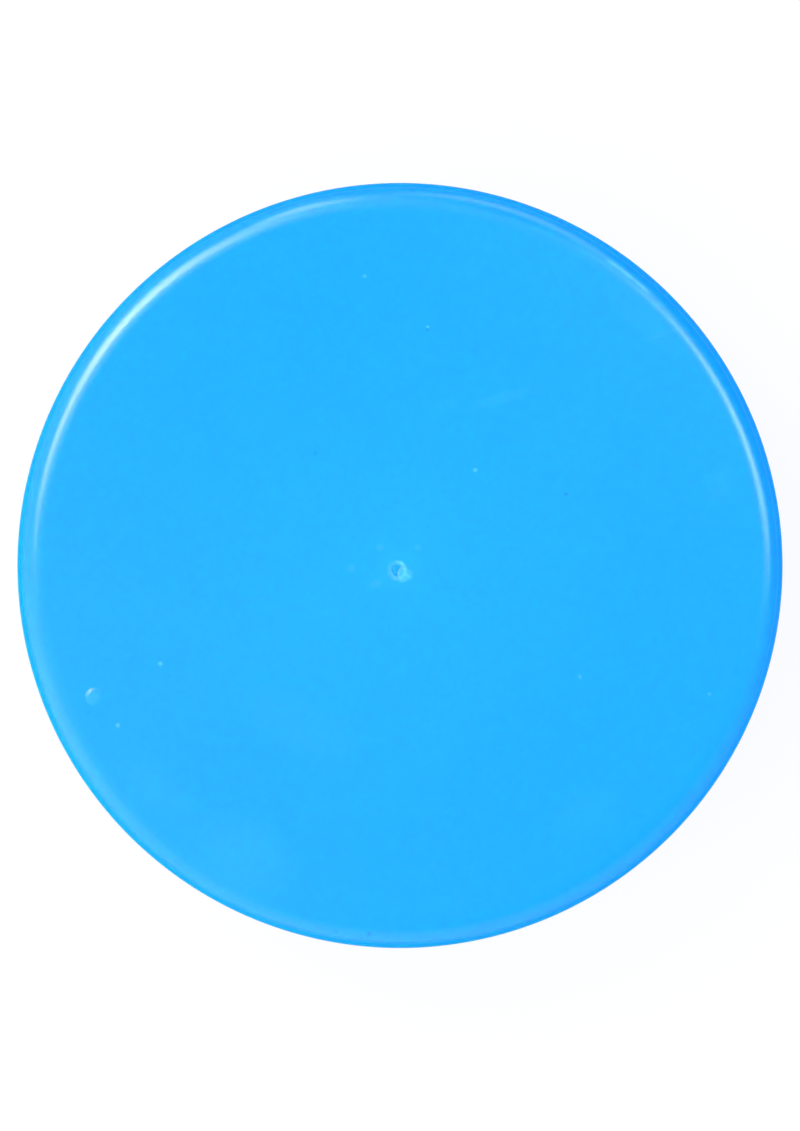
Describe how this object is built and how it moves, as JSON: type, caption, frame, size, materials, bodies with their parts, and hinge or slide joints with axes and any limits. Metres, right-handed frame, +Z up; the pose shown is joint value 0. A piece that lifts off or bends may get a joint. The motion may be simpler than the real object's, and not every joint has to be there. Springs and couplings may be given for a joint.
{
  "type": "hockey puck",
  "caption": "Round flat moulded hockey puck with rounded shoulders, a recessed grip band and a welded mid-height seam, weighted inside by a steel washer between rubber pads.",
  "frame": {"origin": "centre of the lower playing face, on which the puck rests", "axes": "+Z up along the puck's centre line, through both faces; +X and +Y in the lower face"},
  "size_m": [0.0762, 0.0762, 0.0254],
  "materials": {
    "shell_plastic": "glossy injection-moulded, sky blue",
    "pad_rubber": "matt black sheet rubber, die-cut",
    "ballast_steel": "zinc-plated stamped steel"
  },
  "bodies": {
    "root": {"lower_shell": "shell_plastic", "upper_shell": "shell_plastic", "lower_pad": "pad_rubber", "upper_pad": "pad_rubber", "ballast_washer": "ballast_steel"}
  },
  "joints": []
}
